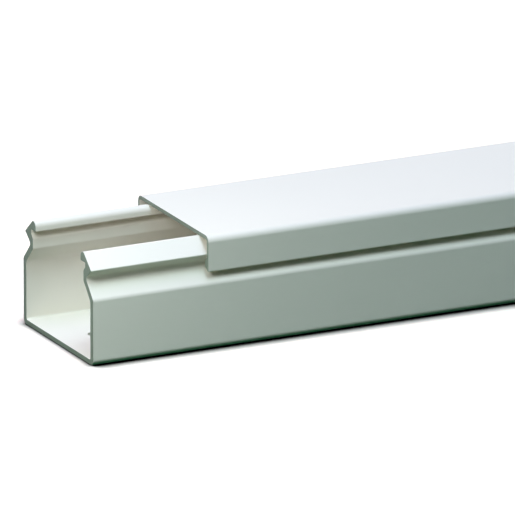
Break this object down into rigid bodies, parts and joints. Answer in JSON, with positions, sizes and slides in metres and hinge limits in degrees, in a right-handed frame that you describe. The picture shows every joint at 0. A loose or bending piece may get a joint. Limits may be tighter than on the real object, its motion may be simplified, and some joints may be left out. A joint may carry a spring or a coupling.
{
  "type": "cord cover raceway",
  "caption": "Two-part plastic cable raceway: a channel base with barbed lips and fixing holes in its floor, and a clip-over lid that slides along it.",
  "frame": {"origin": "middle of the base's flat underside, the face that lies on the wall", "axes": "+X along the length, away from the end where the cover is set back; +Y across; +Z away from the wall, through the cover"},
  "size_m": [2.045, 0.057, 0.0415],
  "materials": {
    "base_pvc": "satin",
    "cover_pvc": "satin"
  },
  "bodies": {
    "base": {"base_channel": "base_pvc"},
    "lid": {"cover": "cover_pvc"}
  },
  "joints": [
    {"name": "cover_slide", "type": "slide", "parent": "base", "child": "lid", "axis": [1, 0, 0], "range_m": [-1, 1]}
  ]
}
